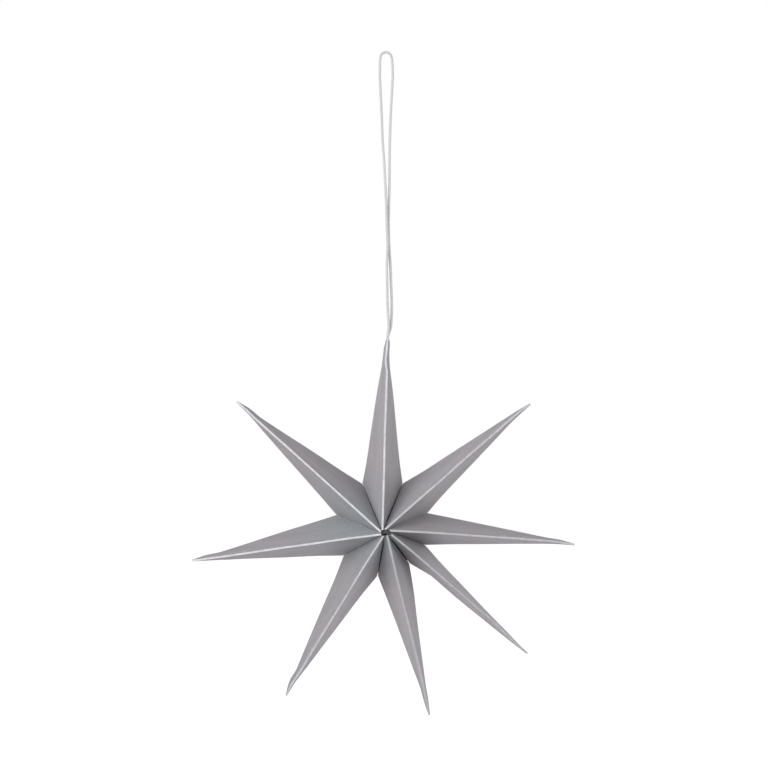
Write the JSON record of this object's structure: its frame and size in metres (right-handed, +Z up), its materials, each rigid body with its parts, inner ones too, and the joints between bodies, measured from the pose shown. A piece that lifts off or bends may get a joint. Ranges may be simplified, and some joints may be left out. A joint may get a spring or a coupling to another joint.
{
  "type": "folded paper star",
  "caption": "Hanging star of folded card leaves with hollow tapering arms round a small open hub, on a cord loop.",
  "frame": {"origin": "top inside of the cord loop, where a hook bears; the star hangs below it", "axes": "+Z up, the star stands in the XZ plane and faces -Y, +X to the right seen from the front"},
  "size_m": [0.1487, 0.0336, 0.2579],
  "materials": {
    "card": "matt dyed face with pale cut edges",
    "cord": "smooth round waxed cotton cord"
  },
  "bodies": {
    "root": {"top_leaf_a": "card", "top_leaf_b": "card", "upper_left_leaf_a": "card", "upper_left_leaf_b": "card", "left_leaf_a": "card", "left_leaf_b": "card", "lower_left_leaf_a": "card", "lower_left_leaf_b": "card", "bottom_leaf_a": "card", "bottom_leaf_b": "card", "lower_right_leaf_a": "card", "lower_right_leaf_b": "card", "right_leaf_a": "card", "right_leaf_b": "card", "upper_right_leaf_a": "card", "upper_right_leaf_b": "card", "hanging_cord": "cord"}
  },
  "joints": []
}
